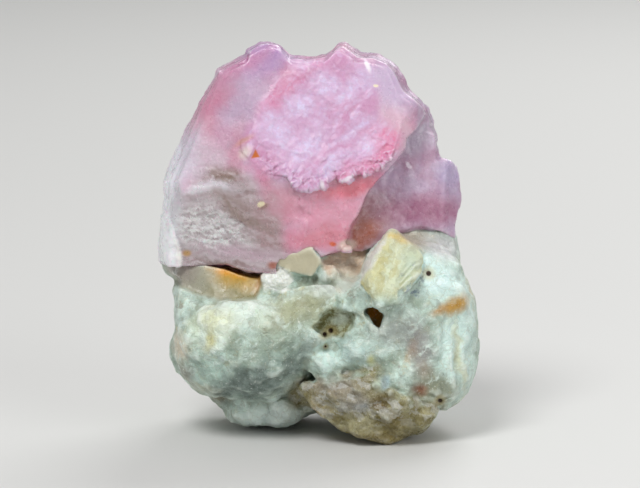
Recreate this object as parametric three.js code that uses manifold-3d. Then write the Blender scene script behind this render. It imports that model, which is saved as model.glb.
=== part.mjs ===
// Rose quartz crystal on its matrix: a broken hand specimen, 81 mm tall, that stands on three small flats.
//
// The upper half is one solid of pink and lilac quartz. The lower half is the matrix it grew on: pale
// green feldspar boulders, a cream feldspar block, and smoky quartz at the foot.
//
// Everything is modelled square to the specimen's face, as [right, up] or [right, up, back] in
// millimetres, where the origin is below the middle of the face. The finished stone then leans back by
// LEAN_DEG and is cut flat where it touches the surface that it stands on.

import * as THREE from "three";
import { ConvexGeometry } from "three/addons/geometries/ConvexGeometry.js";
import { ImprovedNoise } from "three/addons/math/ImprovedNoise.js";
import { TessellateModifier } from "three/addons/modifiers/TessellateModifier.js";
import { mergeVertices } from "three/addons/utils/BufferGeometryUtils.js";
import Module from "manifold-3d";

const wasm = await Module();
wasm.setup();

// Driving dimensions, in millimetres and degrees.
const LEAN_DEG = 10; // how far the face leans back from upright
const FOOT_HEIGHT = 3.1; // from the origin up to the surface that the stone stands on, square to it
const SEAT_GAP = 0.5; // between the crystal's underside and the matrix
const BLOCK_CLEARANCE = 0.6; // between the crystal and the matrix pieces that stand in front of it
const EDGE_LENGTH = 5.3; // longest edge of a facet
const BEYOND = 150; // larger than the stone, for tools that cut right through it
const LUMP_CORNERS = 18;
const LUMP_ROUGHNESS = 0.3; // share by which a lump's corners stand in or out
const GOLDEN_ANGLE = Math.PI * (3 - Math.sqrt(5));

// Depth profiles, front to back. Each ring is [back, size], size being a share of the outline.
const SLAB_RINGS = [
  [-20, 0.72], [-14, 0.87], [-7, 0.96], [0, 1], [8, 0.93], [15, 0.7],
];
const BOULDER_RINGS = [
  [-21, 0.58], [-15, 0.8], [-8, 0.94], [1, 1], [10, 0.92], [19, 0.6],
];
const BACK_RINGS = [
  [-4, 0.9], [2, 1], [10, 0.96], [18, 0.8], [24, 0.5],
];

const noise = new ImprovedNoise();

function solid(geometry) {
  const bare = geometry.clone();
  bare.deleteAttribute("normal");
  bare.deleteAttribute("uv");
  const merged = mergeVertices(bare, 1e-4);
  return new wasm.Manifold(new wasm.Mesh({
    numProp: 3,
    vertProperties: merged.getAttribute("position").array,
    triVerts: new Uint32Array(merged.index.array),
  }));
}

function geometryOf(body) {
  const mesh = body.getMesh();
  return new THREE.BufferGeometry()
    .setAttribute("position", new THREE.BufferAttribute(mesh.vertProperties, 3))
    .setIndex(new THREE.BufferAttribute(mesh.triVerts, 1));
}

function union(bodies) {
  return bodies.reduce((whole, body) => whole.add(body));
}

// A rounded body whose outline, seen square to the face, is given, and whose rings shrink towards its heart.
function boulder(outline, heart, rings) {
  const contour = outline.map(([right, up]) => new THREE.Vector2(right, up));
  if (THREE.ShapeUtils.isClockWise(contour)) contour.reverse();
  const count = contour.length;
  const positions = rings.flatMap(([back, size]) => contour.flatMap((point) => [
    heart[0] + (point.x - heart[0]) * size,
    back,
    heart[1] + (point.y - heart[1]) * size,
  ]));
  const index = [];
  for (let ring = 0; ring < rings.length - 1; ring++) {
    for (let i = 0; i < count; i++) {
      const front = ring * count + i;
      const nextFront = ring * count + (i + 1) % count;
      index.push(front, front + count, nextFront);
      index.push(nextFront, front + count, nextFront + count);
    }
  }
  const last = (rings.length - 1) * count;
  for (const [a, b, c] of THREE.ShapeUtils.triangulateShape(contour, [])) {
    index.push(a, b, c);
    index.push(last + a, last + c, last + b);
  }
  return solid(new THREE.BufferGeometry()
    .setAttribute("position", new THREE.Float32BufferAttribute(positions, 3))
    .setIndex(index));
}

// A convex block from its corners, [right, up, back], grown about its middle by grow millimetres.
function block(corners, grow = 0) {
  const points = corners.map(([right, up, back]) => new THREE.Vector3(right, back, up));
  const middle = points.reduce((sum, point) => sum.add(point), new THREE.Vector3())
    .divideScalar(points.length);
  const grown = points.map((point) => {
    const arm = point.clone().sub(middle);
    return point.clone().add(arm.setLength(grow));
  });
  return solid(new ConvexGeometry(grown));
}

// Everything inside an outline, from near to far, measured back.
function prism(outline, near, far) {
  const shape = new THREE.Shape(outline.map(([right, up]) => new THREE.Vector2(right, up)));
  const geometry = new THREE.ExtrudeGeometry(shape, { depth: far - near, bevelEnabled: false });
  geometry.rotateX(Math.PI / 2);
  geometry.translate(0, far, 0);
  return solid(geometry);
}

// All that lies in front of a plane (side -1) or behind it (side 1). The plane passes through
// at = [right, up, back], and slope = [per mm to the right, per mm up] is how fast it runs back.
function beyondPlane(at, slope, side) {
  const outward = new THREE.Vector3(-slope[0], 1, -slope[1]).multiplyScalar(side).normalize();
  const geometry = new THREE.BoxGeometry(BEYOND, BEYOND, BEYOND);
  geometry.translate(0, 0, BEYOND / 2);
  geometry.applyQuaternion(new THREE.Quaternion().setFromUnitVectors(new THREE.Vector3(0, 0, 1), outward));
  geometry.translate(at[0], at[2], at[1]);
  return solid(geometry);
}

const inFrontOf = (at, slope) => beyondPlane(at, slope, -1);
const behind = (at, slope) => beyondPlane(at, slope, 1);
const cleave = (body, cuts) => cuts.reduce((rest, cut) => rest.subtract(cut), body);

// The line where crystal meets matrix, seen square to the face, from left to right.
const CONTACT = [
  [-40, 39], [-31, 38], [-27, 37.2], [-18, 36.3], [-12, 35.4], [-9, 35.7], [-4, 38.5], [0, 38.9],
  [5, 40.4], [9, 40.2], [12, 42.4], [16, 44.4], [20, 45.1], [24, 44], [27.5, 42.3], [40, 42],
];

function belowContact(drop) {
  const line = CONTACT.map(([right, up]) => [right, up - drop]);
  return prism([[-40, -30], [40, -30], ...line.reverse()], -40, 40);
}

const CREAM_BLOCK = [
  [14.7, 42.9, -13], [16.3, 41.7, -14.4], [19.6, 39.3, -14.6], [18.3, 34, -17.4], [15.1, 28.9, -19],
  [10.8, 28.9, -19.6], [9.4, 33.6, -19], [10.4, 36.5, -18.4], [12, 39.4, -16.8], [13.6, 41.8, -14.6],
  [12.9, 42.2, -10], [10.4, 39.6, -11.4], [8.8, 36.6, -12.4], [8.2, 33, -13.4], [8.6, 28.5, -14],
  [16, 42.5, -5], [21, 38, -5], [20, 27, -5], [9, 27, -5], [9, 37, -5],
];

const CREAM_WEDGE = [
  [-9.8, 37.6, -12.4], [-1.7, 40.1, -13.8], [0.3, 37.1, -13.2], [-1.7, 34.4, -13], [-8.4, 36, -12.6],
  [-8, 38, -7], [-1, 40, -7], [1, 37, -7], [-1, 33, -7], [-8, 34, -7],
];

// The smooth salmon face under the ragged ledge that crosses the pink quartz.
function ledgePocket() {
  return prism([
    [-13, 55.4], [-6.5, 54], [-4.6, 51.6], [-2.2, 51.3], [0.5, 51.9], [2, 53.2], [3.2, 53.6], [5.6, 53.2],
    [6.4, 54.4], [9.9, 54.5], [10.4, 55.4], [12.3, 55.9], [14, 57.6], [18, 60.4], [26, 50], [26, 30],
    [-24, 30], [-24, 50],
  ], -30, 0).intersect(inFrontOf([2, 48, -13.8], [0.16, -0.2]));
}

// The lilac crystal at the right stands back from the pink quartz, whose broken edge ends above it.
function lilacShoulder() {
  return prism([
    [26, 72], [21.5, 68], [20.6, 65.8], [19, 63.4], [17.1, 61.9], [16.8, 59.6], [15.2, 57.5], [13.1, 55.1],
    [11.5, 53.5], [9.6, 51.6], [8.8, 49.7], [7.7, 46.8], [6.4, 44.6], [5.3, 41.7], [4, 38], [2, 28],
    [50, 28], [50, 72],
  ], -40, 0).intersect(inFrontOf([15, 50, -7.5], [0.25, 0.05]));
}

function roseQuartz() {
  const outline = [
    [-15.1, 78.6], [-14.8, 79.8], [-12, 81.3], [-10.4, 81.5], [-8.2, 81.1], [-5.8, 78.6], [-2.8, 78.3],
    [1, 78.7], [2.4, 79.8], [3.6, 81], [5.1, 81], [8, 78.6], [11, 78.4], [13.8, 77.4], [15.4, 75.6],
    [17.3, 71.8], [19.5, 69.9], [21.3, 68.2], [22.5, 65.5], [22.5, 64.1], [23.5, 62.5], [24.1, 57.3],
    [25.5, 57.5], [27.2, 56.7], [28.2, 55.1], [28.4, 48.5], [27.4, 44.1], [27.6, 38], [22, 32], [-24, 31],
    [-31.6, 36], [-32, 40.6], [-31.6, 45.2], [-30.6, 49.6], [-31, 52.8], [-28.6, 58.2], [-26.5, 63.2],
    [-23.3, 70.4], [-20.6, 75.8],
  ];
  return cleave(boulder(outline, [-4, 58], SLAB_RINGS), [
    inFrontOf([2, 60, -15], [0.1, 0.12]),
    inFrontOf([-6.2, 74.1, -14.1], [-0.23, 0.35]),
    inFrontOf([-13.5, 62, -16.2], [-0.385, 0.24]),
    inFrontOf([-16, 52, -16.9], [-0.25, -0.33]),
    inFrontOf([8.2, 78.1, -12.2], [0.49, 0.35]),
    inFrontOf([25, 52, -4.8], [0.9, 0]),
    behind([-4, 62, 12], [-0.15, -0.3]),
    behind([-18, 56, 9], [0.45, -0.1]),
    behind([18, 54, 11], [-0.4, -0.3]),
    behind([-11, 79, 1.5], [0.35, -0.9]),
    behind([4, 79, 2.5], [-0.3, -1.1]),
    behind([14, 74, 2.5], [-0.8, -0.5]),
    behind([-24, 66, 2.5], [1.1, -0.5]),
    behind([27, 50, 3], [-1.4, 0.1]),
    ledgePocket(),
    lilacShoulder(),
  ]);
}

function backCrystal() {
  const outline = [
    [-27, 34], [-29.5, 44], [-28, 54], [-24.5, 63], [-19, 71], [-11, 77.5], [-2, 75], [6, 77], [14, 73],
    [20, 66], [24, 55], [26, 45], [24, 34], [-16, 30],
  ];
  return cleave(boulder(outline, [-2, 52], BACK_RINGS), [
    behind([4, 60, 17], [-0.1, -0.5]),
    behind([-16, 52, 15], [0.5, -0.2]),
    behind([18, 48, 14], [-0.55, 0]),
    behind([0, 42, 20], [0.1, 0.25]),
  ]);
}

// An angular lump at [right, up, back], with its reach in those three directions.
function lump([right, up, back], [width, height, depth]) {
  const corners = [];
  for (let i = 0; i < LUMP_CORNERS; i++) {
    const polar = Math.acos(1 - 2 * (i + 0.5) / LUMP_CORNERS);
    const size = 1 + LUMP_ROUGHNESS * noise.noise(1.7 * i, right, up);
    const corner = new THREE.Vector3().setFromSphericalCoords(size, polar, GOLDEN_ANGLE * i + right);
    corners.push([right + corner.x * width, up + corner.y * height, back + corner.z * depth]);
  }
  return block(corners);
}

function leftBoulder() {
  const outline = [
    [-29.6, 33], [-29.8, 29.6], [-29.5, 25.4], [-29.7, 18.4], [-28.6, 14.8], [-25.3, 11.6], [-22.2, 10.6],
    [-19, 9.8], [-15, 9], [-10, 9.2], [-6, 11.2], [-2, 14], [2.4, 19.2], [6, 23.6], [6.4, 28.6],
    [4, 32.6], [-6, 37.2], [-26, 37.2],
  ];
  return cleave(boulder(outline, [-14, 22], BOULDER_RINGS), [
    inFrontOf([-13, 25.8, -18], [-0.1, 1.1]),
    inFrontOf([-12, 23, -18.3], [0.1, -0.1]),
    inFrontOf([-6, 19, -16.4], [0.25, -0.34]),
    inFrontOf([-9, 14, -14.2], [0.22, -0.8]),
    inFrontOf([-24, 22, -14.8], [-0.8, 0.1]),
    inFrontOf([-20, 14, -14], [-0.5, -0.7]),
    inFrontOf([0, 27, -15], [0.3, 0.3]),
    behind([-29, 28, 3], [2.2, -0.4]),
    behind([-28, 14, 4], [1.4, 1]),
  ]);
}

function underLobe() {
  const outline = [
    [-26, 13], [-22.2, 11.2], [-21.6, 9.8], [-18.7, 6.7], [-15, 4.2], [-12, 4.9], [-9.4, 4.9],
    [-6.8, 3.9], [-4.4, 5], [-1.1, 7.1], [3, 8.6], [5, 14], [-4, 18], [-18, 18],
  ];
  const rings = [[-9, 0.7], [-4, 0.88], [3, 1], [9, 1], [16, 0.86]];
  return cleave(boulder(outline, [-10, 12], rings), [
    inFrontOf([-12, 9, -4], [0.05, -0.5]),
    inFrontOf([-20, 9, -1], [-0.8, -0.3]),
  ]);
}

function rightBoulder() {
  const outline = [
    [9, 38], [14, 41.6], [21, 41.6], [27.2, 40.2], [27.5, 36.2], [29.4, 33.9], [30.8, 30.4], [31.8, 25.4],
    [32.1, 21.2], [31.6, 15.4], [30.4, 12.4], [28.6, 9.9], [25.6, 7.6], [12, 10], [5, 11], [-0.4, 13.6],
    [-1.6, 19.6], [-0.4, 26.6], [4, 33.6],
  ];
  return cleave(boulder(outline, [16, 24], BOULDER_RINGS), [
    inFrontOf([20, 30, -16], [0.2, 0.35]),
    inFrontOf([14, 20, -16], [0.02, -0.08]),
    inFrontOf([26, 22, -13.6], [0.8, -0.1]),
    inFrontOf([6, 22, -13.8], [-0.35, -0.1]),
    inFrontOf([22, 36, -12.2], [0.35, 0.8]),
    behind([31, 26, 3], [-2.2, 0.4]),
    behind([30, 14, 4], [-1.6, 1.2]),
  ]);
}

function smokyFoot() {
  const outline = [
    [-4, 12.8], [-1.6, 9], [-0.4, 7.6], [2.4, 5.8], [6.8, 3.2], [10.3, 2.1], [13, 0.5], [15.6, 1.9],
    [17.2, 3.2], [20.2, 4.4], [22.6, 5.9], [23.8, 8], [18, 10], [12.6, 13], [11.2, 17], [6.4, 15.4],
    [-1, 14],
  ];
  const rings = [[-20, 0.62], [-16, 0.86], [-12, 1], [-4, 0.96], [6, 0.9]];
  return cleave(boulder(outline, [11, 10], rings), [
    inFrontOf([13, 10, -17], [0, -0.2]),
    inFrontOf([13, 4, -15.2], [-0.12, -0.8]),
    inFrontOf([3, 9, -14], [-0.4, -0.4]),
    inFrontOf([20, 8, -14.4], [0.55, -0.3]),
    inFrontOf([8, 15, -16.6], [0.05, 0.6]),
  ]);
}

function contactBand() {
  const outline = [
    [-32.3, 41], [-31.9, 38], [-30.8, 34.8], [-29.1, 33.8], [-29.8, 29.6], [-28, 24], [-10, 22], [10, 22],
    [28, 26], [29, 33], [27.6, 37], [27.4, 46], [15, 50], [0, 46], [-31, 46],
  ];
  return cleave(boulder(outline, [0, 36], SLAB_RINGS), [
    inFrontOf([-25, 34, -9.6], [-0.55, 0.1]),
    inFrontOf([-13, 33, -11.6], [0.05, 0.4]),
    inFrontOf([4, 36, -10.4], [0, 0.4]),
    inFrontOf([20, 40, -7], [0.2, 0.5]),
    inFrontOf([25, 40, -5.4], [0.7, 0.3]),
  ]);
}

function backMass() {
  const outline = [
    [-27, 40], [-29, 28], [-27, 17], [-20, 9], [-8, 7], [2, 8], [9, 5.5], [17, 5], [24, 8], [28.5, 15],
    [29.5, 26], [27, 38], [20, 48], [0, 48], [-20, 46],
  ];
  return cleave(boulder(outline, [0, 26], BACK_RINGS), [
    behind([-8, 28, 19], [0.3, 0.15]),
    behind([14, 30, 18], [-0.35, 0.05]),
    behind([-18, 18, 15], [0.7, 0.4]),
    behind([6, 14, 20], [0, 0.5]),
    behind([24, 20, 12], [-0.8, 0.3]),
  ]);
}

// Nodules that stand out of the matrix, each with its place and its reach.
const LUMPS = [
  [[-8.8, 34.2, -10.6], [3.6, 2, 2.6]],
  [[1.8, 34.8, -10.6], [3, 2.6, 3]],
  [[5, 31.8, -11.4], [3.2, 3, 3]],
  [[-3, 29, -13.4], [7, 4.6, 3.4]],
  [[-14.6, 25.6, -14.6], [9.6, 4.6, 4.4]],
  [[-24.4, 22.6, -12.2], [4.4, 6.6, 4]],
  [[-12, 18, -14], [9, 5, 4]],
  [[23.6, 34.4, -9.2], [5.4, 5.4, 4.6]],
  [[25, 19.5, -11.6], [1.8, 9, 3.4]],
  [[28, 19.5, -9.6], [1.7, 8.6, 3.6]],
  [[30.2, 20, -6], [1.6, 7.4, 3.4]],
  [[8.4, 19.6, -13.4], [6.4, 4, 3.6]],
  [[0.8, 17.2, -12.4], [4.4, 3.4, 3.6]],
  [[17.6, 15.4, -13.8], [5.6, 5, 3.4]],
  [[24, 11.8, -9.4], [5, 3.8, 4.4]],
  [[-15, 8.4, 0.6], [5, 3.4, 5.6]],
  [[-7, 8.2, -0.6], [5.2, 3.4, 5.6]],
  [[5.6, 11.2, -14], [5.6, 3.6, 3.4]],
  [[13.4, 8.2, -14.6], [5.6, 4.4, 3]],
  [[12, 11, 12.5], [10, 8, 7.5]],
  [[-11, 11, 9.5], [9, 7.6, 6]],
];

// The hollow and the pit in the middle of the matrix's face.
function hollows() {
  const hollow = [[-1.7, 24.2], [2.2, 28.3], [4.4, 27.9], [6.7, 26.9], [6.2, 24.2], [4.6, 22.4], [0.6, 22.2]];
  const pit = [[8.5, 27.7], [10.5, 28.9], [12.4, 26.9], [11.8, 23.2], [9.9, 25.6]];
  return [
    prism(hollow, -30, 0).intersect(inFrontOf([2.5, 25, -11.4], [-0.1, 0.1])),
    prism(pit, -30, 0).intersect(inFrontOf([10.5, 26, -10], [-0.2, 0.3])),
  ];
}

// The opening that the crack leaves under the crystal's front edge at the left.
function crack() {
  return block([
    [-28, 37.1, -20], [-17, 36.2, -20], [-12, 35.4, -20], [-9.5, 35.9, -20], [-12, 34, -20], [-18, 35.4, -20],
    [-27, 37, -20], [-24, 36.8, -3], [-14, 35.8, -5], [-12, 35, -5],
  ]);
}

// Breaks a body's long facets up and roughens them. The shift depends on the place alone, so that pieces
// that meet stay a constant gap apart. The crystal's face is the smoothest part, and the back, which broke
// free of the rock, is the roughest.
function roughness(x, y, z) {
  const back = THREE.MathUtils.smoothstep(y, 2, 14);
  const glassy = THREE.MathUtils.smoothstep(z, 40, 48);
  const coarse = Math.max(0.9 * back, THREE.MathUtils.lerp(0.5, 0.1, glassy));
  const fine = Math.max(0.6 * back, THREE.MathUtils.lerp(0.4, 0.12, glassy));
  const shift = new THREE.Vector3();
  [[11, coarse], [4.6, fine]].forEach(([wavelength, height]) => {
    ["x", "y", "z"].forEach((axis, i) => {
      const offset = 31.4 * (i + 1);
      shift[axis] += height * 1.6 * noise.noise(
        x / wavelength + offset, y / wavelength + offset, z / wavelength - offset);
    });
  });
  return shift;
}

function weathered(body) {
  const fine = new TessellateModifier(EDGE_LENGTH, 16).modify(geometryOf(body));
  const position = fine.getAttribute("position");
  for (let i = 0; i < position.count; i++) {
    const shift = roughness(position.getX(i), position.getY(i), position.getZ(i));
    position.setXYZ(i, position.getX(i) + shift.x, position.getY(i) + shift.y, position.getZ(i) + shift.z);
  }
  return solid(fine);
}

// Leans a body back and cuts it flat where it stands.
function stood(body) {
  const leant = geometryOf(body).rotateX(THREE.MathUtils.degToRad(-LEAN_DEG));
  const ground = new THREE.BoxGeometry(BEYOND, BEYOND, BEYOND);
  ground.translate(0, 0, FOOT_HEIGHT - BEYOND / 2);
  return geometryOf(solid(leant).subtract(solid(ground)));
}

const crystal = union([roseQuartz(), backCrystal()])
  .subtract(belowContact(0))
  .subtract(block(CREAM_BLOCK, BLOCK_CLEARANCE))
  .subtract(block(CREAM_WEDGE, BLOCK_CLEARANCE));

const matrix = cleave(
  union([
    leftBoulder(), underLobe(), rightBoulder(), smokyFoot(), contactBand(), backMass(),
    ...LUMPS.map(([at, reach]) => lump(at, reach)),
  ])
    .intersect(belowContact(SEAT_GAP))
    .add(block(CREAM_BLOCK))
    .add(block(CREAM_WEDGE)),
  [...hollows(), crack()],
);

function piece(name, body, color, roughness) {
  const mesh = new THREE.Mesh(
    stood(weathered(body)),
    new THREE.MeshStandardMaterial({ color, roughness, metalness: 0 }),
  );
  mesh.name = name;
  return mesh;
}

const specimen = new THREE.Group();
specimen.add(piece("rose_quartz_crystal", crystal, 0xdba3c0, 0.35));
specimen.add(piece("feldspar_matrix", matrix, 0xc9d1bd, 0.8));

// The frame's origin is under the middle of the stone's bounding box, on the surface it stands on.
const bounds = new THREE.Box3().setFromObject(specimen);
const middle = bounds.getCenter(new THREE.Vector3());
specimen.position.set(-middle.x, -middle.y, -bounds.min.z);

export default specimen;
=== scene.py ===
"""A rose quartz crystal on its feldspar matrix, standing on a pale studio floor.

The stone's shape starts from the frame's solids. They are remeshed finely, their sharp edges are worn, and
broken rock is modelled on them. Places on the stone are given in millimetres as seen square to its broken
face, which leans back by LEAN_DEG: right, back and up.
"""

import itertools
import math

import bmesh
import bpy
import numpy as np
from mathutils import Matrix, Vector


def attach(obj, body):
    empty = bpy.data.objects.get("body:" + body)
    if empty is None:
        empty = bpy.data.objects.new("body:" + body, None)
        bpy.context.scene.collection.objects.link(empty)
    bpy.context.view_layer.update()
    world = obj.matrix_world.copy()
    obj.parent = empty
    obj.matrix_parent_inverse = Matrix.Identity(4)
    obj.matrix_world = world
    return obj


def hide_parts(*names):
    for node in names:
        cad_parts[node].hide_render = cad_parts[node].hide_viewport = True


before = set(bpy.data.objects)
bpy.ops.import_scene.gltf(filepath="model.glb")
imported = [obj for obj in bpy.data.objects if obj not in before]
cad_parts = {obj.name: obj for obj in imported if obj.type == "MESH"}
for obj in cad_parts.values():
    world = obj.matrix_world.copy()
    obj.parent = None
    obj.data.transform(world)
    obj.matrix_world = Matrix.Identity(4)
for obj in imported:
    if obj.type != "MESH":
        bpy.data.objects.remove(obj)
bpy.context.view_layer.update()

LEAN_DEG = 10
FACE_FOOT_MM = (0.109, -7.330, -3.100)  # the row's place of right, back and up at zero
FACE_MIDDLE_UP = 40.8  # where on the broken face the camera aims, in millimetres
CAMERA_DISTANCE_MM = 900
VIEW_WIDTH_MM = 128
SENSOR_MM = 36
CAMERA_REACH_M = 20
FLOOR_REACH_M = 4
SKY_STRENGTH = 0.36

CRYSTAL_GRID_MM = 0.375
MATRIX_GRID_MM = 0.44
EDGE_WEAR_ROUNDS = 2  # how often the solids' sharp edges are smoothed
RELIEF_ROUNDS = 14  # how often the stone is smoothed to find what stands out from it
LUMP_CORNERS = 22

# How far crystal and matrix reach into the narrow gap between the two solids, so that they meet.
CRYSTAL_DOWN_MM = 0.9
MATRIX_UP_MM = 0.4

# The line where crystal meets matrix, from left to right.
CONTACT = np.array([
    (-40, 39), (-31, 38), (-27, 37.2), (-18, 36.3), (-12, 35.4), (-9, 35.7), (-4, 38.5), (0, 38.9),
    (5, 40.4), (9, 40.2), (12, 42.4), (16, 44.4), (20, 45.1), (24, 44), (27.5, 42.3), (40, 42),
])

# The pearly plate that stands a little proud of the crystal's face, above the ragged ledge.
PEARLY_PLATE = np.array([
    (-5.6, 75.6), (-9, 72), (-11.6, 68.6), (-12.8, 65), (-14.4, 61.4), (-14, 57.6), (-11, 54.8), (-6.5, 54),
    (-4.6, 51.6), (-2.2, 51.3), (0.5, 51.9), (2, 53.2), (3.2, 53.6), (5.6, 53.2), (6.4, 54.4), (9.9, 54.5),
    (10.4, 55.4), (12.3, 55.9), (14, 57.8), (15.6, 61.8), (12.6, 66),
    (11.6, 70), (9.8, 74.6), (7, 79), (0, 79),
])

# Chips of the plate that stand up along its ragged ledge.
LEDGE_CHIPS = [
    np.array([(-0.6, 54.4), (0.6, 55.8), (1.6, 53.6), (1.2, 51.5), (-0.2, 52.2)]),
    np.array([(3.4, 53.2), (4.2, 54.8), (6.6, 55.6), (7.2, 54.4), (6, 53.3), (4.6, 52.8)]),
    np.array([(7, 55.2), (8.4, 56.2), (10.4, 56.4), (10.4, 55), (8.4, 54.3)]),
    np.array([(11, 57), (12.6, 59), (14.8, 59.6), (14, 57.6), (12, 56)]),
    np.array([(-15.4, 61), (-13.6, 61.6), (-12.8, 59.8), (-14, 57.4), (-15.6, 59)]),
]

# The clear zone at the crystal's lower left, the middle of its frost, the whitish facet at the left rim
# and a small rust spot.
CLEAR_ZONE = np.array([
    (-30.4, 50.4), (-26, 52.6), (-21.6, 55.4), (-17.6, 56.4), (-15, 54),
    (-12.2, 51.2), (-9.4, 48.6), (-7.2, 44.6),
    (-5.6, 39.6), (-7, 35), (-34, 35), (-34, 45),
])
FROST_MIDDLE = (-21, 43.6)
RIM_FACET = np.array([(-33, 46.4), (-30, 46.8), (-28.6, 42.6), (-27.2, 38.6), (-27.6, 37), (-34, 37)])
RUST_SPOT = np.array([(-12.7, 59.4), (-11.8, 57.9), (-13.5, 57.6)])

# The cream block, its pale left side, the wedge under the crystal, and other flat places of the matrix.
BLOCK = np.array([
    (13.4, 42.2), (14.6, 43.2), (16.4, 42.4), (19.6, 39.4), (20, 37.2),
    (18.4, 33.6), (15.2, 31.4), (15, 28.8),
    (11, 28.8), (8.4, 33), (9.2, 36.6), (11, 39.6),
])
BLOCK_SIDE = np.array([(13.8, 42.4), (11, 39.6), (8.2, 36), (7.8, 32.4), (10.4, 36.2), (11.8, 39)])
WEDGE = np.array([(-1.8, 40.2), (-9.6, 38), (-8.4, 36.2), (-1.8, 34.4), (0.4, 37)])
TUFT = np.array([(-12, 35.2), (-10.4, 36.2), (-6, 36), (-5.2, 33.6), (-6.8, 31.2), (-11.2, 31.6)])
QUARTZ_BAND = np.array([
    (-34, 39), (-24, 37.6), (-19.6, 36.8), (-11.6, 35.8), (-11.6, 32.6),
    (-12.8, 30.2), (-19.6, 29.8), (-24, 30.8),
    (-27, 32), (-30.4, 33.4), (-34, 34.6),
])
GROOVES_MIDDLE = (18.4, 33.4)
HOLLOW_QUARTZ = np.array([
    (0.4, 37.2), (4, 40.4), (9.4, 40), (8.6, 36.6), (6.6, 32.6), (4, 31.4), (1.6, 33),
])
BRIGHT_STEP = np.array([
    (-24.4, 26), (-23.4, 28.4), (-19.6, 29.4), (-15, 29.2), (-12.4, 28.6),
    (-12.8, 26.6), (-16, 25), (-18.8, 20.8),
    (-21.6, 19.2), (-24, 20.6),
])
CAVE = np.array([(-1.8, 24.2), (2.2, 28.6), (4.4, 27.8), (6.8, 26.8), (6, 24.2), (4.6, 22.4)])
SHADED_SIDE = np.array([
    (-21.6, 11.2), (-17, 16), (-12, 16.6), (-7.4, 16), (-1.8, 20.6),
    (-1.2, 19.2), (-5.2, 13.8), (-8.2, 11.2),
    (-14, 9.4), (-20, 9),
])
FOOT = np.array([
    (-4, 13.4), (0, 13.4), (6.4, 15.4), (11, 17.2), (11.8, 12),
    (15, 10.8), (18.4, 9.8), (24.6, 8.2), (20, 2),
    (13, -2), (6, 2), (-1, 6), (-6, 10),
])

# Small lumps that grow together with a solid, each with its middle and its reach.
MATRIX_LUMPS = [
    ((20.4, -12, 9.8), (3.2, 3.2, 2.4)),
    ((17, -13.4, 10.6), (2.4, 2.4, 1.8)),
]
CRYSTAL_LUMPS = [
    ((5.4, -12.2, 40.6), (1.6, 1.4, 1)),
    ((25, -0.6, 48), (3.4, 3.8, 9)),
    ((24.6, 0, 42), (3.4, 3.6, 6)),
]

# Round holes in the matrix, each with its place, right and up, and its radius.
HOLES = [
    (2.1, 23.7, 0.5), (0.9, 23, 0.42), (21.4, 35, 0.5), (23.7, 9.9, 0.45), (1.1, 20.6, 0.22),
]

lean = Matrix.Rotation(math.radians(LEAN_DEG), 3, "X")
face_foot = Vector(FACE_FOOT_MM)


def on_row(right, back, up):
    """The row's place, in metres, of a place on the stone."""
    return (lean.inverted() @ Vector((right, back, up)) + face_foot) / 1000


def on_face(points):
    """Right, back and up of many places in the row, in millimetres."""
    return (points * 1000 - np.array(face_foot)) @ np.array(lean).T


def ramp(value, start, end):
    """0 at start and beyond it, 1 at end, and smooth between them."""
    share = np.clip((value - start) / (end - start), 0, 1)
    return share * share * (3 - 2 * share)


def scatter(cells, seed):
    """Three repeatable numbers from -1 to 1 for each cell of a grid."""
    x, y, z = (cells[..., i].astype(np.int64).astype(np.uint64) for i in range(3))
    # Large odd multipliers spread the cell's numbers over all bits.
    mixed = x * np.uint64(73856093) ^ y * np.uint64(19349663) ^ z * np.uint64(83492791)
    numbers = []
    for step in (1, 2, 3):
        key = mixed * np.uint64(6364136223846793005) + np.uint64(seed * 1442695 + step * 977)
        key ^= key >> np.uint64(31)
        key = key * np.uint64(0xBF58476D1CE4E5B9)
        key ^= key >> np.uint64(29)
        numbers.append((key & np.uint64(0xFFFFFF)) / 0x7FFFFF - 1)
    return np.stack(numbers, -1)


def swell(points, size, seed):
    """Smooth heights from about -1 to 1, with hills about size apart."""
    place = points / size
    cell = np.floor(place)
    part = place - cell
    ease = part**3 * (part * (part * 6 - 15) + 10)
    total = np.zeros(len(points))
    for corner in itertools.product((0, 1), repeat=3):
        arm = part - np.array(corner)
        weight = np.where(np.array(corner), ease, 1 - ease).prod(1)
        total += (arm * scatter(cell + np.array(corner), seed)).sum(1) * weight
    return total * 1.8


def grains(points, size, seed):
    """For each grain near the points: its squared distance, and the height of its tilted plane there."""
    place = points / size
    cell = np.floor(place)
    for corner in itertools.product((-1, 0, 1), repeat=3):
        home = cell + np.array(corner)
        arm = place - home - 0.5 - 0.42 * scatter(home, seed)
        tilt = scatter(home, seed + 1)
        yield (arm**2).sum(1), (arm * tilt).sum(1) + 0.4 * tilt[:, 0]


def chips(points, size, seed):
    """Heights from about -1 to 1 of broken grains, each one flat facet with a small step at its edge."""
    nearest = np.full(len(points), np.inf)
    height = np.zeros(len(points))
    for distance, plane in grains(points, size, seed):
        height = np.where(distance < nearest, plane, height)
        nearest = np.minimum(nearest, distance)
    return height


def facets(points, size, seed):
    """Heights from about -1 to 1 of a broken surface whose flat facets meet in ridges and valleys."""
    nearest = np.full(len(points), np.inf)
    highest = np.full(len(points), -np.inf)
    for distance, plane in grains(points, size, seed):
        highest = np.maximum(highest, plane - distance)
        nearest = np.minimum(nearest, distance)
    return highest + nearest - 0.3


def terraces(points, direction, step, seed):
    """Heights, from -0.5 to 0.5, of a broken cleavage that falls in steps along a direction."""
    along = points @ (np.array(direction) / np.linalg.norm(direction)) / step
    along = along + 0.7 * swell(points, step * 1.7, seed)
    part = along - np.floor(along)
    return np.where(part < 0.85, part / 0.85, (1 - part) / 0.15) - 0.5


def shaken(face, by, size, seed):
    """Right and up of each place, pushed about by up to by millimetres, in waves of one size."""
    return face[:, [0, 2]] + by * np.stack([swell(face, size, seed), swell(face, size, seed + 1)], 1)


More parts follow.
